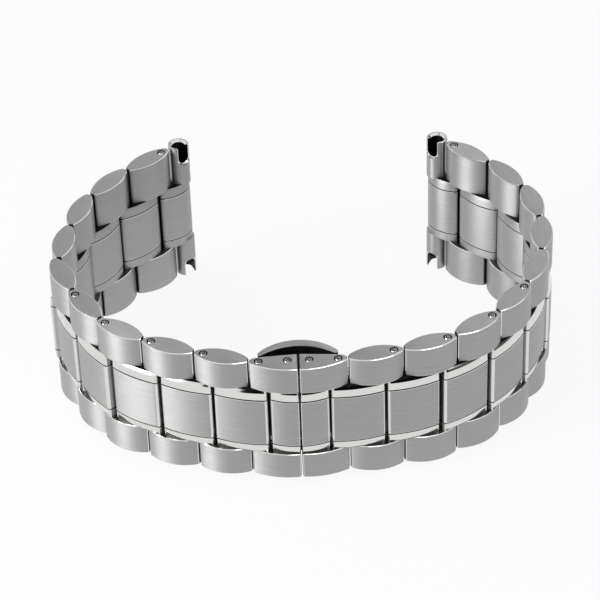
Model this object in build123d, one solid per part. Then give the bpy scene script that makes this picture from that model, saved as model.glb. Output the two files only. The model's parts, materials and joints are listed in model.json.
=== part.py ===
from build123d import *
import math
import os

# A three-row link bracelet for a watch, closed by a butterfly clasp with two push buttons. It stands
# on its long edge with every hinge pin upright (+Z), the clasp at the front (-Y) and the two end
# pieces for the watch at the back. Lengths are in millimetres.

# Strap widths, measured along the hinge pins
lug_width = 22.0  # at the watch
clasp_width = 18.0  # at the clasp
centre_width = 10.2  # the centre row keeps one width all along
side_gap = 0.05  # at each side of a centre link's knuckle, where it turns between the outer links before it

# Links
links_per_side = 9
pitch = 7.2  # from one hinge pin to the next
thickness = 3.0
link_gap = 0.15  # between the tips of neighbours in a row
end_margin = 1.15  # from a hinge pin to the tip of the outer links around it
knuckle_reach = 1.2  # from a hinge pin to the end of the centre link that turns on it
outer_tip_radius = 0.75  # of the circle that the three flats of a tip touch
centre_tip_radius = 1.1
band_width = 1.45  # polished band along each side of a centre link
band_drop = 0.3  # how far a band falls away towards the outer row

# Pins
pin_radius = 0.5
pin_slack = 0.04  # running clearance around a pin
press_slack = 0.01  # around a pin that is held fast
pin_sides = 12  # flats round each hidden pin and its hole

# Half links at the clasp
half_link_length = 6.25
seam_gap = 0.08  # from the middle of the clasp to each half link
half_outer_length = 8.8  # length of the full oval that the seam cuts
half_centre_length = 5.5
half_outer_back = 1.9  # from the middle of a half link to its wrist side, at the seam
block_wall = 1.0  # what stands of the middle block beyond the arm's eye
latch_pin_place = 1.45  # from the seam to the pin that a folding arm holds
latch_pin_depth = 0.5  # of that pin, from the middle of the half link towards the wrist
half_link_angle = 6.0  # how far a half link leans back from the clasp's tangent, in degrees

# Bends of the photographed strap at each hinge pin, from the clasp to the watch, in degrees
left_bend_angles = (9, 7, 12, 22, 12, 31, 10, 20, 13, 2)
right_bend_angles = (2, 7, 18, 17, 16, 18, 16, 22, 16, 2)

# End pieces at the watch
barrel_radius = 1.45
barrel_place = 2.95  # from the last hinge pin to the spring bar
spring_bar_bore = 0.9
ear_root = 0.2  # how far an ear runs into the middle block
notch_width = 1.7  # opening in the wrist side, to reach the spring bar with a tool
notch_depth = 2.6

# Folding clasp, curved to the wrist
clasp_plate_width = 9.0
plate_thickness = 0.8
plate_gap = 0.15
clasp_curve = 24.0  # radius of the side of the arms that faces the links
clasp_depth = 1.7  # from the middle of the half links to that side, at the seam
hinge_reach = 11.0  # from the seam to the hinge at each end of the base plate
hinge_eye = 0.9
latch_eye = 0.85
tongue_width = 4.8  # of the eye in the middle of a plate
tongue_gap = 0.15
eye_room = 1.1  # free radius that another piece leaves round a hinge eye
neck_place = 2.1  # where the neck of an arm meets its plate, from the seam
wide_start = 2.7  # where an arm reaches its full width, from the seam

# Push buttons and their housing, D-shaped seen along the pins
housing_curve = 6.6
housing_apex = 5.05
housing_width = 8.8
button_flat = 2.1
button_top = 8.8
button_foot = 5.2
button_half_width = 5.15  # to the level sides that clip the D
button_rim = 1.25  # at the top of the D
button_side_rim = 0.4  # at each end of the hollow, where the rim is thinnest
button_hollow = 2.6
button_travel = 0.7
stem_length = 3.6
stem_width = 4.0
stem_thickness = 1.0
stem_place = 3.9
stem_slack = 0.1

overrun = 1.0  # how far a cutting shape passes the surface that it opens

# Sizes that follow from those above
row_inner = centre_width / 2
last_pin_place = half_link_length - end_margin + links_per_side * pitch
strap_length = last_pin_place + barrel_place + barrel_radius
link_length = pitch - link_gap
latch_pin_centre = Vector(latch_pin_place, latch_pin_depth).rotate(Axis.Z, half_link_angle)
curve_centre = Vector(0, clasp_depth + clasp_curve)
base_outer = clasp_curve - plate_thickness - plate_gap
base_inner = base_outer - plate_thickness
hinge_radius = base_inner + hinge_eye
hinge_angle = math.degrees(math.asin(hinge_reach / hinge_radius))
hinge_centre = curve_centre - Vector(0, hinge_radius).rotate(Axis.Z, hinge_angle)


def half_width(place):
    """Half of the strap's width at a distance from the seam: it tapers evenly from watch to clasp."""
    return (clasp_width + (lug_width - clasp_width) * place / strap_length) / 2


def oval(length, tip_radius):
    """A link seen along its pins: two crowned faces that end in tips of three flats each."""
    crest = thickness / 2
    reach = length / 2 - tip_radius
    crown = (reach**2 + crest**2 - tip_radius**2) / (2 * (crest - tip_radius))
    turn = math.acos(reach / (crown - tip_radius))
    corner = tip_radius / math.cos(turn / 3)
    angles = (-turn, -turn / 3, turn / 3, turn)
    tip = [Vector(reach + corner * math.cos(a), corner * math.sin(a)) for a in angles]
    far = [Vector(-p.X, p.Y) for p in tip]
    crowns = [ThreePointArc(far[i], (0, s * crest), tip[i]) for i, s in ((0, -1), (-1, 1))]
    return make_face([*crowns, Polyline(*tip), Polyline(*far)])


def disc(radius, place, across=0):
    return Pos(place, across) * Circle(radius)


def pin(radius, place, half_length):
    return extrude(disc(radius, place), half_length, both=True)


def hinge_pin(place, half_length):
    """A pin inside the strap."""
    section = RegularPolygon(pin_radius, pin_sides)
    return extrude(Pos(place, 0) * section, half_length, both=True)


def hinge_bore(place, half_length, slack=pin_slack):
    """The hole for such a pin, which turns on it or, with less slack, holds it."""
    section = RegularPolygon(pin_radius + slack, pin_sides, major_radius=False)
    return extrude(Pos(place, 0) * section, half_length, both=True)


def banded(outline):
    """The centre row's form: a level panel with a band on each side that falls away outwards."""
    panel = centre_width / 2 - band_width
    slope = math.degrees(math.atan(band_drop / band_width))
    core = extrude(outline, panel, both=True)
    band = Pos(0, 0, panel) * extrude(outline, band_width, taper=slope)
    return core + band + mirror(band, Plane.XY)


def knuckle_relief():
    """What comes off both sides of a knuckle, so that it turns freely between the outer links."""
    clear = end_margin + link_gap / 2
    side = Pos(clear - pitch / 2, 0, centre_width / 2 - side_gap / 2) * Box(pitch, pitch, side_gap)
    return on_both_edges(side)


def outer_row(outline, start):
    """The upper outer link over an outline, its side face following the taper of the strap."""
    box = outline.bounding_box()
    low = half_width(start + box.min.X)
    high = half_width(start + box.max.X)
    blank = extrude(Pos(0, 0, row_inner) * outline, lug_width / 2)
    slope = math.degrees(math.atan((high - low) / box.size.X))
    side = Plane((box.min.X, 0, low)).rotated((0, -slope, 0))
    return split(blank, bisect_by=side, keep=Keep.BOTTOM)


def on_both_edges(piece):
    return [piece, mirror(piece, Plane.XY)]


def outer_links(start):
    """Both outer links of a link, with the pin of the next hinge made in one piece with them."""
    middle = pitch + end_margin - link_length / 2
    upper = outer_row(Pos(middle, 0) * oval(link_length, outer_tip_radius), start)
    return Part() + on_both_edges(upper) + hinge_pin(pitch, row_inner)


def centre_link():
    middle = link_length / 2 - knuckle_reach
    block = banded(Pos(middle, 0) * oval(link_length, centre_tip_radius))
    return block - hinge_bore(0, centre_width) - knuckle_relief()


def end_piece(inward):
    """The block that meets the watch: a barrel for the spring bar, joined to a knuckle in the middle."""
    barrel = disc(barrel_radius, barrel_place)
    length = knuckle_reach + barrel_place + barrel_radius
    block = banded(Pos(length / 2 - knuckle_reach, 0) * oval(length, centre_tip_radius))
    root = centre_width / 2 - ear_root
    ear = extrude(Pos(0, 0, root) * barrel, lug_width / 2 - root)
    body = block + on_both_edges(ear)
    body -= hinge_bore(0, centre_width)
    body -= knuckle_relief()
    body -= pin(spring_bar_bore, barrel_place, lug_width)
    reach = barrel_radius + overrun
    notch = Box(notch_width, reach, notch_depth + overrun)
    notch = Pos(barrel_place, inward * reach / 2, (lug_width - notch_depth + overrun) / 2) * notch
    return body - on_both_edges(notch)


def cut_at_seam(piece, inward):
    waste = Pos(seam_gap - half_outer_length / 2, 0) * Box(half_outer_length, lug_width, 2 * lug_width)
    return piece - Rot(0, 0, -inward * half_link_angle) * waste


def half_outer_links(inward):
    """The cut outer links beside the seam, with a straight back that is thickest at the seam."""
    middle = half_link_length - half_outer_length / 2
    outline = Pos(middle, 0) * oval(half_outer_length, outer_tip_radius)
    far = half_link_length - end_margin
    back = [(-half_outer_back, half_outer_back), (0, half_outer_back), (far, outer_tip_radius), (far, 0)]
    back = Polyline(*[(x, inward * y) for x, y in back], (-half_outer_back, 0), close=True)
    upper = cut_at_seam(outer_row(outline + make_face(back), 0), inward)
    return Part() + on_both_edges(upper) + hinge_pin(far, row_inner)


def half_centre_block(inward):
    """The centre of a half link, open on the wrist side for the arm's eye, with the pin for it."""
    end = half_link_length - end_margin - knuckle_reach - link_gap
    outline = Pos(end - half_centre_length / 2, 0) * oval(half_centre_length, centre_tip_radius)
    block = cut_at_seam(banded(outline), inward)
    room = latch_eye + tongue_gap
    far_wall = end - block_wall
    pocket_width = tongue_width + 2 * tongue_gap
    pocket = Box(2 * far_wall, thickness + room, pocket_width)
    floor = latch_pin_depth - room
    block -= Pos(0, inward * (floor + (thickness + room) / 2)) * pocket
    return block + Pos(0, inward * latch_pin_depth) * hinge_pin(latch_pin_place, pocket_width / 2)


def curved_plate(outer, inner, start, stop):
    """A strip that follows the wrist, between two angles from the seam."""
    ring = Circle(outer) - Circle(inner)
    wedge = Polyline((0, 0), *[Vector(0, -2 * outer).rotate(Axis.Z, a) for a in (start, stop)], close=True)
    return Pos(curve_centre) * (ring & make_face(wedge))


def arm_outline():
    """A folding arm, from its eye in the half link to its hinge at the end of the base plate."""
    middle = clasp_curve - plate_thickness / 2
    start = math.degrees(math.asin(neck_place / middle))
    foot = curve_centre - Vector(0, middle).rotate(Axis.Z, start)
    neck = disc(latch_eye, latch_pin_centre.X, latch_pin_centre.Y)
    neck += disc(plate_thickness / 2, foot.X, foot.Y)
    plate = curved_plate(clasp_curve, clasp_curve - plate_thickness, start, hinge_angle)
    return plate + make_hull(neck.edges()) + disc(hinge_eye, hinge_centre.X, hinge_centre.Y)


def folding_arm():
    body = extrude(arm_outline(), clasp_plate_width / 2, both=True)
    beside = (clasp_plate_width - tongue_width) / 2
    shoulder = Pos(wide_start - hinge_reach, 0, (clasp_plate_width - beside) / 2)
    shoulder *= Box(2 * hinge_reach, 2 * hinge_reach, beside)
    fork = Pos(hinge_centre) * Cylinder(eye_room, tongue_width)
    body -= on_both_edges(shoulder)
    body -= fork
    body -= Pos(hinge_centre) * hinge_bore(0, clasp_plate_width)
    return body - Pos(latch_pin_centre) * hinge_bore(0, clasp_plate_width)


def housing_outline(flat):
    """The D shape of the buttons and their housing."""
    round_part = disc(housing_curve, 0, housing_apex - housing_curve)
    below = Rectangle(4 * housing_curve, 2 * housing_curve)
    return round_part - Pos(0, flat - housing_curve) * below


def base_plate():
    """The plate against the wrist, with the housing of the buttons in its middle."""
    half = curved_plate(base_outer, base_inner, 0, hinge_angle)
    half += disc(hinge_eye, hinge_centre.X, hinge_centre.Y)
    body = extrude(half + mirror(half, Plane.YZ), clasp_plate_width / 2, both=True)
    knuckle_width = tongue_width - 2 * tongue_gap
    beside = (clasp_plate_width - knuckle_width) / 2
    for side in (1, -1):
        place = Pos(side * hinge_centre.X, hinge_centre.Y)
        rim = place * Pos(0, 0, (clasp_plate_width - beside) / 2) * Cylinder(eye_room, beside)
        body -= on_both_edges(rim)
        body -= place * hinge_bore(0, clasp_plate_width, press_slack)
    housing = housing_outline(button_flat) & (Pos(curve_centre) * Circle(base_outer))
    body += extrude(housing, housing_width / 2, both=True)
    pocket_depth = stem_length + button_travel - (button_foot - housing_width / 2) + stem_slack
    pocket = Box(stem_width + 2 * stem_slack, stem_thickness + 2 * stem_slack, pocket_depth + overrun)
    pocket = Pos(0, stem_place, (housing_width - pocket_depth + overrun) / 2) * pocket
    return body - on_both_edges(pocket)


def base_pins():
    centres = [Pos(s * hinge_centre.X, hinge_centre.Y) for s in (1, -1)]
    return Part() + [centre * hinge_pin(0, clasp_plate_width / 2) for centre in centres]


def release_button():
    """A push button: a D-shaped cap with a hollow top, on a stem that slides in the housing."""
    sides = Rectangle(2 * button_half_width, 4 * housing_curve)
    outline = housing_outline(button_flat) & sides
    cap = extrude(Pos(0, 0, button_foot) * outline, button_top - button_foot)
    hollow = extrude(Pos(0, 0, button_top - button_hollow) * button_hollow_outline(), button_hollow + overrun)
    stem = Box(stem_width, stem_thickness, stem_length)
    return cap - hollow + Pos(0, stem_place, button_foot - stem_length / 2) * stem


def button_hollow_outline():
    """The hollow is open towards the links, and its flatter arc leaves a crescent of the D as its rim."""
    half = button_half_width - button_side_rim
    apex = housing_apex - button_rim
    crown = ThreePointArc((-half, button_flat), (0, apex), (half, button_flat))
    front = button_flat - overrun
    return make_face([crown, Polyline((half, button_flat), (half, front), (-half, front), (-half, button_flat))])


def heading(side, angle):
    """Direction of the strap away from the clasp, as a turn about +Z from +X."""
    return angle if side > 0 else 180 - angle


def place_of(side, point, angle):
    return Pos(point) * Rot(0, 0, heading(side, angle))


def hinge_places(side, bends):
    """Where each hinge pin stands and which way the link beyond it runs."""
    point = Vector(half_link_length - end_margin, 0).rotate(Axis.Z, heading(side, half_link_angle))
    angle = half_link_angle
    places = []
    for bend in bends:
        angle += bend
        places.append((point, angle))
        point += Vector(pitch, 0).rotate(Axis.Z, heading(side, angle))
    return places


def strap(side, name, bends):
    """One half of the strap, from the clasp to the end piece."""
    parts = {}
    at = place_of(side, Vector(0, 0), half_link_angle)
    parts[f"clasp_outer_links_{name}"] = at * half_outer_links(side)
    parts[f"clasp_centre_block_{name}"] = at * half_centre_block(side)
    places = hinge_places(side, bends)
    centre = centre_link()
    for number in range(1, links_per_side + 1):
        start = half_link_length - end_margin + (number - 1) * pitch
        at = place_of(side, *places[number - 1])
        parts[f"centre_link_{name}_{number}"] = at * centre
        parts[f"outer_links_{name}_{number}"] = at * outer_links(start)
    parts[f"end_piece_{name}"] = place_of(side, *places[links_per_side]) * end_piece(side)
    return parts


def clasp():
    arm = folding_arm()
    button = release_button()
    return {
        "folding_arm_right": arm,
        "folding_arm_left": mirror(arm, Plane.YZ),
        "clasp_base_plate": base_plate(),
        "clasp_hinge_pins": base_pins(),
        "release_button_upper": button,
        "release_button_lower": mirror(button, Plane.XY),
    }


def bracelet():
    parts = {**strap(-1, "left", left_bend_angles), **strap(1, "right", right_bend_angles), **clasp()}
    box = Compound(list(parts.values())).bounding_box()
    origin = Pos(-box.center().X, -box.center().Y, -box.min.Z)
    return {name: origin * piece for name, piece in parts.items()}, origin


os.makedirs("parts", exist_ok=True)
pieces, moved = bracelet()
for name, piece in pieces.items():
    export_step(piece, f"parts/{name}.step")
print("pieces", len(pieces), "moved by", moved.position)
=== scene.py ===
import json
import math
import random

import bmesh
import bpy
from mathutils import Matrix, Vector


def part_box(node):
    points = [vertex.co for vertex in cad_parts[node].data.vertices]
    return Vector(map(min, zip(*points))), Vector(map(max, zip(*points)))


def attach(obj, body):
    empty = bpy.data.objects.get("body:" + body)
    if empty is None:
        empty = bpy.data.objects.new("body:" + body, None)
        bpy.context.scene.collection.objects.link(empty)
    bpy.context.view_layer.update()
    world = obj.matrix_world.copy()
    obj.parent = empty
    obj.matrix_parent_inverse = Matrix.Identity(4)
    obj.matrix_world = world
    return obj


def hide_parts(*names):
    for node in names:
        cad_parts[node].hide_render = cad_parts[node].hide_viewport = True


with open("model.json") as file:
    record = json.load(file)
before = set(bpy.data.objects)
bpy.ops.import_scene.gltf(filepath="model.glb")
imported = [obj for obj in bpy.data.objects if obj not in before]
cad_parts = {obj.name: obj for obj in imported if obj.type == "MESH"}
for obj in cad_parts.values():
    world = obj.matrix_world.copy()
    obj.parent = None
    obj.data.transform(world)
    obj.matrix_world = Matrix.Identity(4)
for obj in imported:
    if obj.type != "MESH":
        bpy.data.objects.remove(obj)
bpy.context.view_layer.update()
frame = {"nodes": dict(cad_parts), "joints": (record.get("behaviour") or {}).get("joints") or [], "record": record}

# Lengths are in millimetres up to the last step of each mesh, which turns them to metres.
# A link is built with its hinge pin at the origin, the strap running away from the clasp along X
# and the wrist on the +Y side, and is mirrored for the left half of the strap.
MM = 0.001

# Finishes, in the order of the list FINISHES. The gap finish is painted shade, nearly black;
# the machined finish is machined steel painted a darker grey as shade.
SATIN, POLISHED, GAP, MACHINED_SHADE = range(4)
BAND = 4  # stands for polished outside and satin on the wrist side

# The strap
SIDES = {"left": -1, "right": 1}
LINKS = 9  # whole links on each side
REMOVABLE = (1, 2, 3, 4, 9)  # the links whose pin shows its head
CLASP_WIDTH, LUG_WIDTH = 18.0, 22.0
STRAP_LENGTH = 74.3  # from the seam to the end, along the strap
FAR_UP = 20.0  # where a prototype keeps what later moves to the strap's own width
PAST = 1.0  # how far a cutting tool reaches out of what it cuts

# A link
THICKNESS = 3.0
PITCH = 7.2  # from hinge to hinge
LINK_LENGTH = 7.05
LINK_GAP = 0.15  # between two pieces of the centre row
TIP_GAP = 1.15  # from a hinge to the tip of the outer links around it
KNUCKLE = 1.2  # from a hinge to the end of the centre link that turns on it
OUTER_TIP, CENTRE_TIP = 0.75, 1.1  # radius of the ends
CENTRE_FULL = 1.35  # the same, for the flatter outside of the centre row
OUTER_CORNER, CENTRE_CORNER = 0.3, 0.45  # where the outside of a link turns into its end
ROW_EDGE = 5.1  # side of the centre row, from the middle of the strap
PANEL_EDGE = 3.65  # where the satin panel meets the polished band
WRIST_SHARE = 0.4  # of the band's depth on the side towards the wrist
END_SHARE = 0.3  # of the band's depth at the ends of a link
TOP_EDGE, LOW_EDGE = 0.12, 0.1  # rounding of an outer link's side face and of its inner one
HOLD = 0.1  # beside a rounded edge, so that its shading stays there
CROWN_STEPS, CORNER_STEPS, TIP_STEPS = 14, 6, 8

# Beside the edge of the panel: place, depth and the finish from there on. The groove of the fine step is painted
# nearly black as shade.
STEP_LINE = [(-0.17, 0.0, SATIN), (-0.14, 0.0, POLISHED), (-0.07, 0.03, GAP), (-0.03, 0.12, GAP),
             (0.05, 0.12, GAP), (0.09, 0.05, BAND)]
# The same for the band's rounded fall, with places measured back from the edge of the row. The side of the row
# beyond it is painted nearly black as shade.
BAND_FALL = [(0.46, 0.20, BAND), (0.42, 0.21, BAND), (0.36, 0.235, BAND), (0.22, 0.30, BAND),
             (0.10, 0.37, BAND), (0.0, 0.44, GAP)]

# A half link
HALF_LINK = 6.25  # from the seam to the tip of its outer links
HALF_OVAL, HALF_MIDDLE_OVAL = 8.8, 5.5  # length of the whole ovals that its pieces are cut from
HALF_BACK = 1.9  # how far its outer links reach towards the wrist at the seam
SEAM_GAP = 0.08  # from the seam to the metal
SEAM_LEAN = math.radians(6)
SEAM_EDGE = 0.25  # rounding of the corners at the seam
LATCH_PIN, LATCH_DEPTH = 1.45, 0.5  # the pin in the arm's eye, from the seam and towards the wrist
LATCH_RADIUS, LATCH_SEAT = 0.5, 0.1  # of that pin, and how far it goes into its walls
POCKET_WIDTH, POCKET_FLOOR, POCKET_WALL = 5.1, -0.5, 1.0  # the room for the arm's eye

# A split pin's end: radius, height and the finish from there on; its slot is painted nearly black as shade
PIN_PROFILE = [(0.13, 0.0, GAP), (0.14, -0.1, GAP), (0.27, -0.1, GAP), (0.28, 0.0, POLISHED),
               (0.29, 0.0, SATIN), (0.38, 0.0, POLISHED), (0.42, -0.05, POLISHED),
               (0.42, -0.4, GAP)]
SLOT_EDGE = 0.28  # where the slot ends and the rim of the pin begins
PIN_SUNK = 0.03  # below the side of the link
PIN_HOLE, HOLE_DEPTH = 0.57, 0.35  # radius and depth of the hole round it, whose wall is painted nearly black as shade

# The end piece
BARREL, BARREL_PLACE = 1.45, 2.95  # radius of the ears, and their middle from the hinge
BAR_BORE = 0.9  # radius of the bore for the spring bar
BLOCK_SHORT = 0.16  # of the block behind its ears, for its crisp corner
EAR_EDGE = 0.1  # rounding at the end of an ear
EAR_ROOT = 0.3  # how far an ear goes into the block
MOUTH, MOUTH_RISE = 0.3, 0.1  # depth of the countersink, and how far its cutter stands out
NOTCH_WIDTH, NOTCH_DEPTH = 1.7, 2.6
LIP_SPREAD, LIP_BACK, LIP_DEPTH = 0.25, 0.15, 0.35  # the light rim of the notch

# How much of a side's direction, from 0 to 1, points along the strap where the corner of a link,
# its flat end and its inside, painted dark as shade, begin
END_CORNER, END_WALL, END_INSIDE = 0.56, 0.97, 0.85
CENTRE_END_CORNER, SEAM_WALL = 0.33, 0.98
DEEP = -0.15  # across a link, where its ends are painted dark as shade
# How much of a face's direction points up where it is level, looks mostly up, or stands upright
LEVEL, MOSTLY_UP, UPRIGHT = 0.995, 0.7, 0.3

# The push buttons
BAND_MIDDLE = 11.0  # the middle of the strap above the floor
HOLLOW_CENTRE = -22.5  # of a cap's hollow, where the model has it
HOLLOW_REACH, RIM_REACH = 2.7, 0.05  # how far below its top a cap is hollow, and is its rim
CAP_UNDERSIDE, UNDERSIDE_REACH = 5.2, 0.07  # from the middle, give or take
STOP_ROOM = 0.08  # what the cap keeps clear of the plates when pressed

# Edges and faces
BUTTON_EDGE, ARM_EDGE, PLATE_EDGE = 0.06, 0.06, 0.05  # how wide the clasp's edges are broken
BROKEN_TURN = math.radians(35)  # an edge that turns more gets broken
SHARP_TURN = math.radians(28)  # an edge that turns more is shaded as an edge
BROAD = 1.5  # square millimetres that make a satin face
SCRATCH_RANGE = 50  # within which each piece's scratches start somewhere of their own


# Materials

def linear(hexa):
    """An sRGB hex colour as the linear colour that Blender wants."""
    c = [int(hexa[i:i + 2], 16) / 255 for i in (1, 3, 5)]
    return [x / 12.92 if x <= 0.04045 else ((x + 0.055) / 1.055) ** 2.4 for x in c] + [1.0]


def add(tree, kind, settings=None, links=None, **inputs):
    """Adds a node, sets its properties and sockets, and links others into it."""
    node = tree.nodes.new(kind)
    for key, value in (settings or {}).items():
        setattr(node, key, value)
    for key, value in inputs.items():
        node.inputs[key.replace("_", " ")].default_value = value
    for key, source in (links or {}).items():
        tree.links.new(source, node.inputs[key])
    return node


def material(name):
    m = bpy.data.materials.new(name)
    m.use_nodes = True
    m.node_tree.nodes.clear()
    return m, m.node_tree


def brushed_stainless_steel():
    """316L steel with a satin finish: fine straight scratches along the strap, which spread each
    reflection across them and leave a soft grey with faint streaks."""
    m, t = material("brushed stainless steel")
    uv = add(t, "ShaderNodeUVMap", {"uv_map": "brush"})
    # real scratches are about 0.03 mm apart; these are 0.12 mm, so that they show in the picture
    along = add(t, "ShaderNodeMapping", links={"Vector": uv.outputs[0]}, Scale=(0.22, 11.0, 1.0))
    noise = add(t, "ShaderNodeTexNoise", links={"Vector": along.outputs[0]},
                Scale=1.0, Detail=4.0, Roughness=0.7)
    scratches = noise.outputs["Fac"]
    colour = add(t, "ShaderNodeMix", {"data_type": "RGBA"}, {"Factor": scratches})
    colour.inputs[6].default_value = linear("#929292")
    colour.inputs[7].default_value = linear("#cacac9")
    rough = add(t, "ShaderNodeMapRange", links={"Value": scratches}, To_Min=0.40, To_Max=0.52)
    bump = add(t, "ShaderNodeBump", links={"Height": scratches}, Strength=0.2, Distance=0.00002)
    tangent = add(t, "ShaderNodeTangent", {"direction_type": "UV_MAP", "uv_map": "brush"})
    shade = add(t, "ShaderNodeBsdfPrincipled", links={
        "Base Color": colour.outputs[2], "Roughness": rough.outputs[0], "Normal": bump.outputs[0],
        "Tangent": tangent.outputs[0]}, Metallic=1.0, Anisotropic=0.85, Anisotropic_Rotation=0.25)
    add(t, "ShaderNodeOutputMaterial", links={"Surface": shade.outputs[0]})
    return m


def polished_stainless_steel():
    """The same steel buffed to a mirror: sharp bright reflections with black where it mirrors a
    gap, and hairlines too faint to see but for a slight unevenness of the gloss."""
    m, t = material("polished stainless steel")
    where = add(t, "ShaderNodeTexCoord")
    # clouds of about 1.7 mm
    haze = add(t, "ShaderNodeTexNoise", links={"Vector": where.outputs["Object"]},
               Scale=600.0, Detail=2.0)
    rough = add(t, "ShaderNodeMapRange", links={"Value": haze.outputs["Fac"]},
                To_Min=0.06, To_Max=0.14)
    shade = add(t, "ShaderNodeBsdfPrincipled", links={"Roughness": rough.outputs[0]},
                Metallic=1.0, Base_Color=linear("#dadad8"))
    add(t, "ShaderNodeOutputMaterial", links={"Surface": shade.outputs[0]})
    return m


def painted_gap_shade_steel():
    """Steel painted nearly black as painted shade, for the gaps between the pieces and the hollows,
    holes and slots where light does not reach, with a faint mottle."""
    m, t = material("oil-darkened steel")
    where = add(t, "ShaderNodeTexCoord")
    # specks of about 0.7 mm
    shade_mottle = add(t, "ShaderNodeTexNoise", links={"Vector": where.outputs["Object"]},
                Scale=1500.0, Detail=3.0)
    colour = add(t, "ShaderNodeMix", {"data_type": "RGBA"}, {"Factor": shade_mottle.outputs["Fac"]})
    colour.inputs[6].default_value = linear("#0b0b0a")
    colour.inputs[7].default_value = linear("#262524")
    shade = add(t, "ShaderNodeBsdfPrincipled", links={"Base Color": colour.outputs[2]},
                Metallic=0.8, Roughness=0.5)
    add(t, "ShaderNodeOutputMaterial", links={"Surface": shade.outputs[0]})
    return m


def machined_steel_painted_darker():
    """Flat faces as the mill left them, beside the centre row and at the seam of the half links,
    painted an even dark grey as painted shade that separates the rows."""
    m, t = material("machined stainless steel")
    where = add(t, "ShaderNodeTexCoord")
    # tool marks of about 0.4 mm, coarser than real ones, so that they show
    marks = add(t, "ShaderNodeTexNoise", links={"Vector": where.outputs["Object"]},
                Scale=2500.0, Detail=3.0)
    colour = add(t, "ShaderNodeMix", {"data_type": "RGBA"}, {"Factor": marks.outputs["Fac"]})
    colour.inputs[6].default_value = linear("#4c4c4b")
    colour.inputs[7].default_value = linear("#727271")
    shade = add(t, "ShaderNodeBsdfPrincipled", links={"Base Color": colour.outputs[2]},
                Metallic=1.0, Roughness=0.4)
    add(t, "ShaderNodeOutputMaterial", links={"Surface": shade.outputs[0]})
    return m


FINISHES = [brushed_stainless_steel(), polished_stainless_steel(), painted_gap_shade_steel(),
            machined_steel_painted_darker()]


# Outlines, seen along the pins

def arc(centre, radius, start, stop, steps):
    """Points along an arc, without its last one."""
    turns = [start + (stop - start) * i / steps for i in range(steps)]
    return [(centre[0] + radius * math.cos(a), centre[1] + radius * math.sin(a)) for a in turns]


def circle(radius, place, across=0.0, steps=40):
    return arc((place, across), radius, 0, 2 * math.pi, steps)


def crown_radius(reach, tip):
    """Of the arc that rises to the middle of a link and runs into tips of that radius."""
    crest = THICKNESS / 2
    return (reach ** 2 + crest ** 2 - tip ** 2) / (2 * (crest - tip))


def link_outline(length, middle, tip, corner, outside_tip):
    """A link: crowned inside and out, with crisp corners outside and round ones inside."""
    half, crest = length / 2, THICKNESS / 2
    crown = crown_radius(half - outside_tip, outside_tip)
    rise = crown - crest
    low = rise - math.sqrt((crown - corner) ** 2 - (half - corner) ** 2)
    slope = math.atan2(low - rise, half - corner)
    right = arc((0, rise), crown, -math.pi / 2, slope, CROWN_STEPS)
    right += arc((half - corner, low), corner, slope, 0, CORNER_STEPS) + [(half, low)]
    reach = half - tip
    crown = crown_radius(reach, tip)
    turn = math.acos(reach / (crown - tip))
    right += arc((reach, 0), tip, 0, turn, TIP_STEPS)
    right += arc((0, crest - crown), crown, turn, math.pi / 2, CROWN_STEPS)
    left = [(-x, y) for x, y in reversed(right[1:])]
    return [(x + middle, y) for x, y in right + [(0, crest)] + left]


def outer_outline(length, middle):
    return link_outline(length, middle, OUTER_TIP, OUTER_CORNER, OUTER_TIP)


def centre_outline(length, middle):
    return link_outline(length, middle, CENTRE_TIP, CENTRE_CORNER, CENTRE_FULL)


def half_link_outline():
    """The cut outer link beside the seam, with a straight back that is thickest at the seam."""
    full = outer_outline(HALF_OVAL, HALF_LINK - HALF_OVAL / 2)
    fall = math.asin((HALF_BACK - OUTER_TIP) / (HALF_LINK - OUTER_TIP))
    tip = (HALF_LINK - OUTER_TIP, 0)
    outside = [p for p in full if p[1] < 0]
    back = [(HALF_LINK, 0)] + arc(tip, OUTER_TIP, 0, math.pi / 2 - fall, TIP_STEPS)[1:]
    x, y = tip[0] + OUTER_TIP * math.sin(fall), OUTER_TIP * math.cos(fall)
    back += [(x, y), (-PAST, y + (x + PAST) * math.tan(fall)), (-PAST, 0)]
    first = min(range(len(outside)), key=lambda i: outside[i][0])
    return cut_at_seam(outside[first:] + outside[:first] + back)


def cut_at_seam(points):
    """What a half link keeps of its outline, with its two new corners rounded."""
    nx, ny = math.cos(SEAM_LEAN), -math.sin(SEAM_LEAN)

    def depth(p):
        return p[0] * nx + p[1] * ny - SEAM_GAP

    kept = []
    for i, p in enumerate(points):
        q = points[(i + 1) % len(points)]
        a, b = depth(p), depth(q)
        if a > 0:
            kept.append(p)
        if (a > 0) != (b > 0):
            s = a / (a - b)
            kept.append((p[0] + s * (q[0] - p[0]), p[1] + s * (q[1] - p[1])))
    corners = [i for i, p in enumerate(kept) if abs(depth(p)) < 1e-6]
    rounded = []
    for i, p in enumerate(kept):
        if i not in corners:
            if all(math.dist(p, kept[c]) > SEAM_EDGE for c in corners):
                rounded.append(p)
            continue
        p = Vector(p)
        a = p + (Vector(kept[i - 1]) - p).normalized() * SEAM_EDGE
        b = p + (Vector(kept[(i + 1) % len(kept)]) - p).normalized() * SEAM_EDGE
        for s in (0.0, 0.25, 0.5, 0.75, 1.0):
            rounded.append(tuple((1 - s) ** 2 * a + 2 * s * (1 - s) * p + s ** 2 * b))
    return rounded


def normals(points):
    """At each point the outward direction and how much further a corner lies than the sides beside
    it, up to twice as far."""
    out = []
    for i, p in enumerate(points):
        a = Vector(p) - Vector(points[i - 1])
        b = Vector(points[(i + 1) % len(points)]) - Vector(p)
        na, nb = Vector((a.y, -a.x)).normalized(), Vector((b.y, -b.x)).normalized()
        mean = (na + nb).normalized()
        out.append((mean, 1 / max(mean.dot(na), 0.5)))
    return out


# Finishes of the sides, by their outward direction and their place across the link, which is more
# towards the wrist

def plain(finish, outward, across):
    return finish


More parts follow.
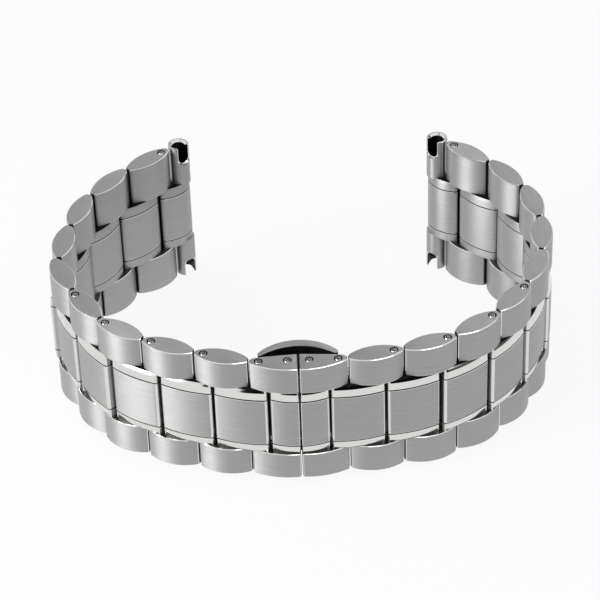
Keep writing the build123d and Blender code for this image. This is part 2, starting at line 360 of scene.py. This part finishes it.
def side_finish(finish, outward, across, corner=END_CORNER):
    """A satin end with a polished corner, painted dark as shade where it faces its neighbour."""
    end = abs(outward[0])
    if finish == GAP or end > END_INSIDE and across > DEEP:
        return GAP
    if end > END_WALL:
        return SATIN
    if finish == BAND:
        return SATIN if outward[1] > 0 else POLISHED
    return POLISHED if end > corner and outward[1] < 0 else finish


def centre_finish(finish, outward, across):
    return side_finish(finish, outward, across, CENTRE_END_CORNER)


def at_the_seam(finish_of):
    """The same for a half link, whose flat face at the seam is machined, is painted a darker grey as
    shade, and shows when the clasp is open."""
    def seam_finish(finish, outward, across):
        return MACHINED_SHADE if outward[0] < -SEAM_WALL else finish_of(finish, outward, across)

    return seam_finish


# Solids

def stack(points, rows, finish_of=side_finish, wrist_share=1.0, end_share=1.0):
    """A closed solid from rows of (height, inset, finish of the strip up to the next row), the
    first with the finish of the bottom too, where that differs."""
    mesh = bmesh.new()
    rings = []
    outward = normals(points)
    for height, depth, *_ in rows:
        ring = []
        for p, (n, stretch) in zip(points, outward):
            toward = max(0.0, min(1.0, n.y * 2.0))  # full from 30 degrees towards the wrist
            ending = end_share if abs(n.x) > END_CORNER else 1.0
            d = depth * stretch * min(1 + (wrist_share - 1) * toward, ending)
            ring.append(mesh.verts.new((p[0] - n.x * d, p[1] - n.y * d, height)))
        rings.append(ring)
    for lower, upper, row in zip(rings, rings[1:], rows):
        for i in range(len(points)):
            j = (i + 1) % len(points)
            face = mesh.faces.new((lower[i], lower[j], upper[j], upper[i]))
            across = (points[i][1] + points[j][1]) / 2
            face.material_index = finish_of(row[2], (outward[i][0] + outward[j][0]) / 2, across)
    mesh.faces.new(reversed(rings[0])).material_index = rows[0][-1]
    mesh.faces.new(rings[-1]).material_index = rows[-1][2]
    return mesh


def block(finish, low, high):
    """A box between two corners."""
    corners = [(low[0], low[1]), (high[0], low[1]), (high[0], high[1]), (low[0], high[1])]
    return stack(corners, [(low[2], 0, finish), (high[2], 0, finish)], plain)


def cylinder(finish, radius, place, low, high, across=0.0, steps=40):
    return stack(circle(radius, place, across, steps), [(low, 0, finish), (high, 0, finish)], plain)


def round_edge(radius, steps=3):
    """Rows of (height below the face, inset) round an edge, from the side wall to the face."""
    turns = [math.pi / 2 * i / steps for i in range(steps + 1)]
    return [(radius - radius * math.sin(a), radius - radius * math.cos(a)) for a in turns]


def rounded_top(top, radius):
    """Rows for a polished edge that runs into a satin face."""
    rows = [(top - h, d, POLISHED) for h, d in round_edge(radius)]
    return rows[:-1] + [rows[-1][:2] + (SATIN,)]


def outer_rows():
    """The upper outer link: machined beneath and painted a darker grey there as shade, with fine
    polished edges. Its side face is kept far up for now."""
    rows = [(ROW_EDGE + h, d, POLISHED) for h, d in reversed(round_edge(LOW_EDGE))]
    rows[0] += (MACHINED_SHADE,)
    rows[-1] = rows[-1][:2] + (SATIN,)
    rows += [(rows[-1][0] + HOLD, 0.0, SATIN), (FAR_UP - TOP_EDGE - HOLD, 0.0, SATIN)]
    return rows + rounded_top(FAR_UP, TOP_EDGE)


def banded_rows():
    """The centre row: a satin panel, a fine step, and a polished band that falls away outwards; the step's groove
    and the row's sides are painted nearly black as shade.
    """
    half = [(0.0, 0.0, SATIN)]
    half += [(PANEL_EDGE + place, depth, finish) for place, depth, finish in STEP_LINE]
    half += [(ROW_EDGE - place, depth, finish) for place, depth, finish in BAND_FALL]
    low = [(-z, d, half[i - 1][2] if i else f) for i, (z, d, f) in enumerate(half)]
    low[-1] += (GAP,)
    return list(reversed(low[1:])) + half


def centre_row(points, finish_of=centre_finish):
    """The banded middle of a link, a half link or an end piece."""
    return stack(points, banded_rows(), finish_of, WRIST_SHARE, END_SHARE)


def as_mesh(name, solid):
    mesh = bpy.data.meshes.new(name)
    solid.to_mesh(mesh)
    solid.free()
    for m in FINISHES:
        mesh.materials.append(m)
    return mesh


def linked(name, mesh):
    o = bpy.data.objects.new(name, mesh)
    bpy.context.scene.collection.objects.link(o)
    return o


def evaluated(o):
    """What an object's modifiers make of it, as a plain mesh."""
    return bpy.data.meshes.new_from_object(o.evaluated_get(bpy.context.evaluated_depsgraph_get()))


def joined(solids):
    """Several closed solids as one mesh."""
    out = bmesh.new()
    for solid in solids:
        part = bpy.data.meshes.new("part")
        solid.to_mesh(part)
        solid.free()
        out.from_mesh(part)
        bpy.data.meshes.remove(part)
    return out


def without(solid, tools):
    """A solid with the tools cut out of it."""
    body = linked("body", as_mesh("body", solid))
    cutters = [linked("tool", as_mesh("tool", tool)) for tool in tools]
    for cutter in cutters:
        cut = body.modifiers.new("cut", "BOOLEAN")
        cut.operation, cut.solver, cut.object = "DIFFERENCE", "EXACT", cutter
    shaped = evaluated(body)
    for o in [body] + cutters:
        bpy.data.objects.remove(o)
    out = bmesh.new()
    out.from_mesh(shaped)
    bpy.data.meshes.remove(shaped)
    return out


def moved(solid, matrix):
    """The solid itself, turned or mirrored."""
    bmesh.ops.transform(solid, matrix=matrix, verts=solid.verts)
    if matrix.determinant() < 0:
        bmesh.ops.reverse_faces(solid, faces=solid.faces)
    return solid


# Links, half links and end pieces

def split_pin(place, across, top):
    """The end of a split pin, just below the side of the link, with the C of its slot, which is painted dark as
    shade.
    """
    steps, bridge = 24, 4  # round the pin, and those that the slot leaves out
    mesh = bmesh.new()
    rings = []
    for radius, height, _ in PIN_PROFILE:
        ring = []
        for k in range(steps):
            a = 2 * math.pi * k / steps
            x, y = place + radius * math.cos(a), across + radius * math.sin(a)
            depth = 0.0 if radius < SLOT_EDGE and k < bridge else height
            ring.append(mesh.verts.new((x, y, top - PIN_SUNK + depth)))
        rings.append(ring)
    mesh.faces.new(rings[0]).material_index = SATIN
    for (radius, _, finish), inner, outer in zip(PIN_PROFILE, rings, rings[1:]):
        for k in range(steps):
            j = (k + 1) % steps
            face = mesh.faces.new((inner[k], outer[k], outer[j], inner[j]))
            in_bridge = k < bridge - 1 and radius < SLOT_EDGE
            face.material_index = SATIN if in_bridge else finish
    mesh.faces.new(reversed(rings[-1])).material_index = GAP
    return mesh


def outer_link(points, pins, finish_of=side_finish):
    """The upper outer link over an outline, with the heads of the pins that can be pushed out."""
    solid = stack(points, outer_rows(), finish_of)
    if pins:
        low, high = FAR_UP - HOLE_DEPTH, FAR_UP + PAST
        solid = without(solid, [cylinder(GAP, PIN_HOLE, x, low, high, y, 28) for x, y in pins])
    return joined([solid] + [split_pin(x, y, FAR_UP) for x, y in pins])


def half_link_middle():
    """The centre of a half link, open towards the wrist for the arm's eye, with the pin for it."""
    end = HALF_LINK - TIP_GAP - KNUCKLE - LINK_GAP
    outline = cut_at_seam(centre_outline(HALF_MIDDLE_OVAL, end - HALF_MIDDLE_OVAL / 2))
    solid = centre_row(outline, at_the_seam(centre_finish))
    side = POCKET_WIDTH / 2
    pocket = block(SATIN, (-2 * PAST, POCKET_FLOOR, -side), (end - POCKET_WALL, THICKNESS, side))
    reach = side + LATCH_SEAT
    pin = cylinder(POLISHED, LATCH_RADIUS, LATCH_PIN, -reach, reach, LATCH_DEPTH, 32)
    return joined([without(solid, [pocket]), pin])


def spring_bar_bore():
    reach = LUG_WIDTH / 2 + PAST
    # the bore is painted nearly black as shade
    return cylinder(GAP, BAR_BORE, BARREL_PLACE, -reach, reach)


def ear():
    """The upper ear: a tube with a countersunk mouth, notched towards the wrist; the notch is painted nearly black
    as shade.
    """
    top, half = LUG_WIDTH / 2, NOTCH_WIDTH / 2
    rows = [(ROW_EDGE - EAR_ROOT, 0, SATIN)] + rounded_top(top, EAR_EDGE)
    tube = stack(circle(BARREL, BARREL_PLACE), rows, plain)
    slot = arc((BARREL_PLACE, top - NOTCH_DEPTH + half), half, math.pi, 2 * math.pi, 12)
    slot += [(BARREL_PLACE + half, top + PAST), (BARREL_PLACE - half, top + PAST)]
    notch = stack(slot, [(0, 0, GAP), (THICKNESS, 0, GAP)], plain)
    lip = [(x + (x - BARREL_PLACE) * LIP_SPREAD, y - LIP_BACK) for x, y in slot]
    lip = stack(lip, [(BARREL - LIP_DEPTH, 0, POLISHED), (BARREL + PAST / 2, 0, POLISHED)], plain)
    mouth = [(top - MOUTH, 0, POLISHED), (top + MOUTH_RISE, -(MOUTH + MOUTH_RISE), POLISHED)]
    mouth = stack(circle(BAR_BORE, BARREL_PLACE), mouth, plain)
    # the notch and its lip are drawn lying down, and stand up when Y and Z change places
    swap = Matrix(((1, 0, 0, 0), (0, 0, 1, 0), (0, 1, 0, 0), (0, 0, 0, 1)))
    return without(tube, [spring_bar_bore(), mouth, moved(notch, swap), moved(lip, swap)])


def end_block():
    """The end piece: a banded block and its two ears."""
    length = KNUCKLE + BARREL_PLACE + BARREL - BLOCK_SHORT
    middle = centre_row(centre_outline(length, length / 2 - KNUCKLE))
    lower = moved(ear(), Matrix.Diagonal((1, 1, -1, 1)))
    return joined([without(middle, [spring_bar_bore()]), ear(), lower])


# The strap

def strap_link_tree():
    """Geometry nodes that finish one link of the strap: the outer link is moved out to the strap's
    width, which tapers, is mirrored onto the other edge, joined by the centre link and set in
    place."""
    t = bpy.data.node_groups.new("strap link", "GeometryNodeTree")
    t.interface.new_socket("Outer link", in_out="INPUT", socket_type="NodeSocketGeometry")
    for name, kind in (("Centre link", "Object"), ("Place", "Vector"), ("Turn", "Float"),
                       ("Near half width", "Float"), ("Far half width", "Float"),
                       ("Length", "Float"), ("Scale", "Float")):
        t.interface.new_socket(name, in_out="INPUT", socket_type=f"NodeSocket{kind}")
    t.interface.new_socket("Link", in_out="OUTPUT", socket_type="NodeSocketGeometry")
    given = add(t, "NodeGroupInput").outputs
    where = add(t, "GeometryNodeInputPosition")
    parts = add(t, "ShaderNodeSeparateXYZ", links={0: where.outputs[0]})
    width = add(t, "ShaderNodeMapRange", {"clamp": False}, {
        "Value": parts.outputs[0], "From Max": given["Length"], "To Min": given["Near half width"],
        "To Max": given["Far half width"]})
    lift = add(t, "GeometryNodeInputNamedAttribute", {"data_type": "FLOAT"}, Name="lift")
    rise = add(t, "ShaderNodeMath", {"operation": "MULTIPLY"},
               {0: lift.outputs["Attribute"], 1: width.outputs[0]})
    offset = add(t, "ShaderNodeCombineXYZ", links={2: rise.outputs[0]})
    upper = add(t, "GeometryNodeSetPosition",
                links={"Geometry": given["Outer link"], "Offset": offset.outputs[0]})
    lower = add(t, "GeometryNodeTransform", links={"Geometry": upper.outputs[0]}, Scale=(1, 1, -1))
    lower = add(t, "GeometryNodeFlipFaces", links={"Mesh": lower.outputs[0]})
    centre = add(t, "GeometryNodeObjectInfo", links={"Object": given["Centre link"]})
    whole = add(t, "GeometryNodeJoinGeometry")
    for part in (upper.outputs[0], lower.outputs[0], centre.outputs["Geometry"]):
        t.links.new(part, whole.inputs[0])
    spot = add(t, "GeometryNodePoints", links={"Position": given["Place"]}, Count=1)
    turn = add(t, "ShaderNodeCombineXYZ", links={2: given["Turn"]})
    size = add(t, "ShaderNodeCombineXYZ", links={i: given["Scale"] for i in range(3)})
    unit = add(t, "GeometryNodeGeometryToInstance", links={0: whole.outputs[0]})
    set_out = add(t, "GeometryNodeInstanceOnPoints", links={
        "Points": spot.outputs[0], "Instance": unit.outputs[0], "Rotation": turn.outputs[0],
        "Scale": size.outputs[0]})
    out = add(t, "GeometryNodeRealizeInstances", links={0: set_out.outputs[0]}).outputs[0]
    finish = add(t, "GeometryNodeInputNamedAttribute", {"data_type": "INT"}, Name="finish")
    for number, look in enumerate(FINISHES):
        same = add(t, "FunctionNodeCompare", {"data_type": "INT", "operation": "EQUAL"},
                   {2: finish.outputs["Attribute"]})
        same.inputs[3].default_value = number
        dressed = add(t, "GeometryNodeSetMaterial",
                      links={"Geometry": out, "Selection": same.outputs[0]}, Material=look)
        out = dressed.outputs[0]
    t.links.new(out, add(t, "NodeGroupOutput").inputs[0])
    return t


def prototype(name, solid, side):
    """A link's mesh for the tree. Attributes keep its finishes and what follows the width."""
    moved(solid, Matrix.Diagonal((1, SIDES[side], 1, 1)))
    mesh = as_mesh(f"{name}_{side}", solid)
    lift = mesh.attributes.new("lift", "FLOAT", "POINT")
    for v, point in zip(mesh.vertices, lift.data):
        if v.co.z > FAR_UP / 2 + ROW_EDGE:
            point.value = 1.0
            v.co.z -= FAR_UP
    finish = mesh.attributes.new("finish", "INT", "FACE")
    finish.data.foreach_set("value", [p.material_index for p in mesh.polygons])
    mesh.materials.clear()
    return linked(mesh.name, mesh)


def half_width(place):
    """Of the strap, at a distance from the seam."""
    return (CLASP_WIDTH + (LUG_WIDTH - CLASP_WIDTH) * place / STRAP_LENGTH) / 2


def grown_link(tree, outer, centre, matrix, start):
    """One link's plain mesh, at its place on the strap."""
    carrier = linked("carrier", outer.data)
    grow = carrier.modifiers.new("grow", "NODES")
    grow.node_group = tree
    sockets = {s.name: s.identifier for s in tree.interface.items_tree if s.in_out == "INPUT"}
    sizes = {"Centre link": centre, "Place": matrix.translation, "Turn": matrix.to_euler().z,
             "Near half width": half_width(start), "Far half width": half_width(start + PITCH),
             "Length": PITCH, "Scale": MM}
    for name, value in sizes.items():
        grow[sockets[name]] = value
    mesh = evaluated(carrier)
    carrier.modifiers.remove(grow)
    bpy.data.objects.remove(carrier)
    return mesh


def brush_lines(mesh, matrix, offset):
    """A map in millimetres whose first axis runs along the strap, for the brushed finish."""
    back = matrix.inverted()
    turned = back.to_3x3()
    layer = mesh.uv_layers.new(name="brush")
    for face in mesh.polygons:
        level = abs((turned @ face.normal).z) > MOSTLY_UP
        for i in face.loop_indices:
            p = back @ mesh.vertices[mesh.loops[i].vertex_index].co / MM
            layer.data[i].uv = (p.x + offset, (p.y if level else p.z) + offset)


def finished(name, mesh, matrix, body, nodes):
    """A piece of the bracelet that stands for its CAD nodes and rides on their body."""
    mesh.name = name
    brush_lines(mesh, matrix, random.Random(name).uniform(0, SCRATCH_RANGE))
    for face in mesh.polygons:
        face.use_smooth = abs(face.normal.z) < LEVEL
    mesh.set_sharp_from_angle(angle=SHARP_TURN)
    piece = linked(name, mesh)
    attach(piece, body)
    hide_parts(*nodes)
    return piece


hinges = {j["child"]: Vector(j["pos_m"]) for j in frame["joints"]}
bars = {m["name"]: Vector(m["pos_m"]) for m in frame["record"]["mounts"]}


def link_matrix(near, far):
    """A link's own frame: its hinge pin at the origin and the next one along X."""
    along = far - near
    return Matrix.Translation(near) @ Matrix.Rotation(math.atan2(along.y, along.x), 4, "Z")


def half_link_matrix(latch, first, sign):
    """The same from the seam, found from the half link's two pins."""
    seen = first - latch
    own = Vector((HALF_LINK - TIP_GAP - LATCH_PIN, -sign * LATCH_DEPTH))
    turn = Matrix.Rotation(math.atan2(seen.y, seen.x) - math.atan2(own.y, own.x), 4, "Z")
    return Matrix.Translation(first - turn @ Vector(((HALF_LINK - TIP_GAP) * MM, 0, 0))) @ turn


def build_strap(side, sign, tree):
    """The half link, the nine links and the end piece of one side."""
    first, latch = hinges[f"link_{side}_1"], hinges[f"half_link_{side}"]
    first_place = HALF_LINK - TIP_GAP  # of the first hinge, from the seam
    outline = outer_outline(LINK_LENGTH, PITCH + TIP_GAP - LINK_LENGTH / 2)
    half_pins = [(LATCH_PIN, LATCH_DEPTH), (first_place, 0)]
    made = {
        "half": outer_link(half_link_outline(), half_pins, at_the_seam(side_finish)),
        "half_middle": half_link_middle(),
        "fixed": outer_link(outline, []),
        "removable": outer_link(outline, [(PITCH, 0)]),
        "middle": centre_row(centre_outline(LINK_LENGTH, LINK_LENGTH / 2 - KNUCKLE)),
    }
    made = {name: prototype(name, solid, side) for name, solid in made.items()}
    matrix = half_link_matrix(latch, first, sign)
    mesh = grown_link(tree, made["half"], made["half_middle"], matrix, 0.0)
    finished(f"half_link_{side}", mesh, matrix, f"half_link_{side}",
             [f"clasp_outer_links_{side}", f"clasp_centre_block_{side}"])
    for k in range(1, LINKS + 1):
        far = hinges[f"link_{side}_{k + 1}"] if k < LINKS else hinges[f"end_{side}"]
        matrix = link_matrix(hinges[f"link_{side}_{k}"], far)
        outer = made["removable" if k in REMOVABLE else "fixed"]
        mesh = grown_link(tree, outer, made["middle"], matrix, first_place + (k - 1) * PITCH)
        finished(f"strap_link_{side}_{k}", mesh, matrix, f"link_{side}_{k}",
                 [f"outer_links_{side}_{k}", f"centre_link_{side}_{k}"])
    matrix = link_matrix(hinges[f"end_{side}"], bars[f"spring_bar_{side}"])
    mesh = as_mesh("end", moved(end_block(), Matrix.Diagonal((1, sign, 1, 1))))
    mesh.transform(matrix @ Matrix.Scale(MM, 4))
    finished(f"end_block_{side}", mesh, matrix, f"end_{side}", [f"end_piece_{side}"])
    for o in made.values():
        bpy.data.objects.remove(o)


# The clasp

def softened(node, width, finish_of):
    """A CAD piece with its facets merged and its edges broken, as tumbling leaves them."""
    mesh = bmesh.new()
    mesh.from_mesh(frame["nodes"][node].data)
    bmesh.ops.remove_doubles(mesh, verts=mesh.verts, dist=1e-6)
    bmesh.ops.dissolve_limit(mesh, angle_limit=math.radians(1), verts=mesh.verts, edges=mesh.edges)
    sharp = [e for e in mesh.edges if len(e.link_faces) == 2 and e.calc_face_angle(0) > BROKEN_TURN]
    bmesh.ops.bevel(mesh, geom=sharp, offset=width * MM, segments=2, profile=0.6, affect="EDGES",
                    clamp_overlap=True)
    mesh.normal_update()
    for face in mesh.faces:
        face.material_index = finish_of(face)
    return as_mesh(node, mesh)


def all_polished(face):
    return POLISHED


def satin_faces(face):
    """Satin on the broad sides of a plate, polished on its edges."""
    broad = face.calc_area() > BROAD * MM ** 2 and abs(face.normal.z) < UPRIGHT
    return SATIN if broad else POLISHED


def cap_finish(node):
    """The button's finish: a satin rim, polished outside, and painted dark as shade within the hollow."""
    low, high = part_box(node)
    top = high[2] if high[2] > BAND_MIDDLE * MM else low[2]
    middle = (low[0] + high[0]) / 2

    def finish(face):
        c = face.calc_center_median()
        if abs(c.z - top) < RIM_REACH * MM:
            return SATIN
        inside = Vector((middle, HOLLOW_CENTRE * MM, 0)) - Vector((c.x, c.y, 0))
        facing = face.normal.x * inside.x + face.normal.y * inside.y > 0
        deep = abs(c.z - top) < HOLLOW_REACH * MM
        return GAP if deep and (facing or abs(face.normal.z) > MOSTLY_UP) else POLISHED

    return finish


tree = strap_link_tree()
for side, sign in SIDES.items():
    build_strap(side, sign, tree)
    arm = softened(f"folding_arm_{side}", ARM_EDGE, satin_faces)
    finished(f"clasp_arm_{side}", arm, Matrix.Identity(4), f"arm_{side}", [f"folding_arm_{side}"])
for where, outward in (("upper", 1), ("lower", -1)):
    node = f"release_button_{where}"
    cap = softened(node, BUTTON_EDGE, cap_finish(node))
    for v in cap.vertices:
        if abs(abs(v.co.z / MM - BAND_MIDDLE) - CAP_UNDERSIDE) < UNDERSIDE_REACH:
            v.co.z += outward * STOP_ROOM * MM
    finished(f"push_button_{where}", cap, Matrix.Identity(4), f"button_{where}", [node])
for name, node, look in (("clasp_base", "clasp_base_plate", satin_faces),
                         ("clasp_pins", "clasp_hinge_pins", all_polished)):
    finished(name, softened(node, PLATE_EDGE, look), Matrix.Identity(4), "clasp_base", [node])


# The studio, in metres

FLOOR_HALF, FLOOR_DROP = 2, 0.00001
FLOOR_WHITE = 0.9  # how much of the floor is plain white to the camera and in the steel
SOFT_LIGHT = 0.55  # strength of the light from all round

# Matt cards: their grey and their corners
CARDS = {
    "card in front": ("#0a0a0a", [
        (-0.25, -0.5, 0.02), (0.5, -0.5, 0.02), (0.5, -0.5, 0.38), (-0.25, -0.5, 0.38)]),
    "card at the right": ("#6a6a6a", [
        (0.5, -0.5, 0.02), (0.5, 0.5, 0.02), (0.5, 0.5, 0.24), (0.5, -0.5, 0.24)]),
    "card behind": ("#e0e0e0", [
        (-0.6, 0.6, 0.2), (0.03, 0.6, 0.2), (0.03, 0.3, 0.8), (-0.6, 0.3, 0.8)]),
    "card above": ("#e0e0e0", [
        (-0.6, 0.3, 0.8), (0.1, 0.3, 0.8), (0.1, -0.5, 0.9), (-0.6, -0.5, 0.9)]),
}
# Lamps: their place, width, height and power in watts
LAMPS = {
    "left soft box": ((-0.45, -0.25, 0.20), 0.26, 0.30, 2.2),
    "strip above the camera": ((0.15, -0.36, 0.45), 0.50, 0.05, 0.35),
}
LAMP_AIM = (0, 0, 0.01)

# The camera, as it was found from the photograph
CAMERA_PLACE = (-0.002993, -0.292665, 0.236535)
CAMERA_YAW, CAMERA_TILT, CAMERA_ROLL = 0.515, -37.517, -2.036  # in degrees
CAMERA_LENS, CAMERA_SENSOR = 163.74, 36.0  # in millimetres


def floor_paper():
    """Matt white seamless paper, which the camera and the steel see as plain white."""
    m, t = material("white seamless paper")
    where = add(t, "ShaderNodeTexCoord")
    # fibres of about 1 mm
    fibre = add(t, "ShaderNodeTexNoise", links={"Vector": where.outputs["Object"]},
                Scale=900.0, Detail=2.0)
    bump = add(t, "ShaderNodeBump", links={"Height": fibre.outputs["Fac"]},
               Strength=0.03, Distance=0.0001)
    paper = add(t, "ShaderNodeBsdfDiffuse", links={"Normal": bump.outputs[0]},
                Color=linear("#f2f2f2"))
    white = add(t, "ShaderNodeEmission", Color=(1, 1, 1, 1), Strength=1.0)
    seen = add(t, "ShaderNodeLightPath")
    either = add(t, "ShaderNodeMath", {"operation": "MAXIMUM"},
                 {0: seen.outputs["Is Camera Ray"], 1: seen.outputs["Is Glossy Ray"]})
    share = add(t, "ShaderNodeMath", {"operation": "MULTIPLY"}, {0: either.outputs[0]})
    share.inputs[1].default_value = FLOOR_WHITE
    mix = add(t, "ShaderNodeMixShader",
              links={0: share.outputs[0], 1: paper.outputs[0], 2: white.outputs[0]})
    add(t, "ShaderNodeOutputMaterial", links={"Surface": mix.outputs[0]})
    return m


def matt_card(colour):
    """Matt card, which is seen in the steel only, where a dark one makes it dark."""
    m, t = material("matt card")
    card = add(t, "ShaderNodeBsdfDiffuse", Color=linear(colour))
    add(t, "ShaderNodeOutputMaterial", links={"Surface": card.outputs[0]})
    return m


def sheet(name, corners, look):
    """A flat piece of the studio, which is not part of the bracelet."""
    mesh = bpy.data.meshes.new(name)
    mesh.from_pydata(corners, [], [(0, 1, 2, 3)])
    mesh.materials.append(look)
    o = linked(name, mesh)
    return o


def studio_world():
    """Even soft light from all round, seen as plain white by the camera and in the steel."""
    world = bpy.data.worlds.new("studio")
    bpy.context.scene.world = world
    world.use_nodes = True
    t = world.node_tree
    t.nodes.clear()
    seen = add(t, "ShaderNodeLightPath")
    either = add(t, "ShaderNodeMath", {"operation": "MAXIMUM"},
                 {0: seen.outputs["Is Camera Ray"], 1: seen.outputs["Is Glossy Ray"]})
    any_of_them = add(t, "ShaderNodeMath", {"operation": "MAXIMUM"},
                      {0: either.outputs[0], 1: seen.outputs["Is Transmission Ray"]})
    soft = add(t, "ShaderNodeBackground", Color=(1, 1, 1, 1), Strength=SOFT_LIGHT)
    white = add(t, "ShaderNodeBackground", Color=(1, 1, 1, 1), Strength=1.0)
    mix = add(t, "ShaderNodeMixShader",
              links={0: any_of_them.outputs[0], 1: soft.outputs[0], 2: white.outputs[0]})
    add(t, "ShaderNodeOutputWorld", links={"Surface": mix.outputs[0]})


def lamp(name, place, width, height, power):
    """A soft box that faces the middle of the bracelet."""
    light = bpy.data.lights.new(name, "AREA")
    light.shape = "RECTANGLE"
    light.size, light.size_y, light.energy = width, height, power
    o = linked(name, light)
    o.location = place
    o.rotation_euler = (Vector(LAMP_AIM) - Vector(place)).to_track_quat("-Z", "Y").to_euler()


def set_camera():
    camera = bpy.data.cameras.new("camera")
    camera.sensor_width = CAMERA_SENSOR
    camera.lens = CAMERA_LENS
    camera.clip_start = 0.01
    o = linked("camera", camera)
    yaw, tilt, roll = (math.radians(a) for a in (CAMERA_YAW, CAMERA_TILT, CAMERA_ROLL))
    ahead = math.cos(tilt)
    forward = Vector((math.sin(yaw) * ahead, math.cos(yaw) * ahead, math.sin(tilt)))
    level = Vector((math.cos(yaw), -math.sin(yaw), 0))
    above = level.cross(forward)
    right = math.cos(roll) * level + math.sin(roll) * above
    up = -math.sin(roll) * level + math.cos(roll) * above
    rows = Matrix((right, up, -forward)).transposed().to_4x4()
    o.matrix_world = Matrix.Translation(CAMERA_PLACE) @ rows
    bpy.context.scene.camera = o


sheet("floor", [(x * FLOOR_HALF, y * FLOOR_HALF, -FLOOR_DROP)
                for x, y in ((-1, -1), (1, -1), (1, 1), (-1, 1))], floor_paper())
for name, (colour, corners) in CARDS.items():
    card = sheet(name, corners, matt_card(colour))
    for ray in ("camera", "diffuse", "transmission", "volume_scatter", "shadow"):
        setattr(card, f"visible_{ray}", False)
studio_world()
for name, (place, width, height, power) in LAMPS.items():
    lamp(name, place, width, height, power)
set_camera()
bpy.context.scene.view_settings.view_transform = "Standard"
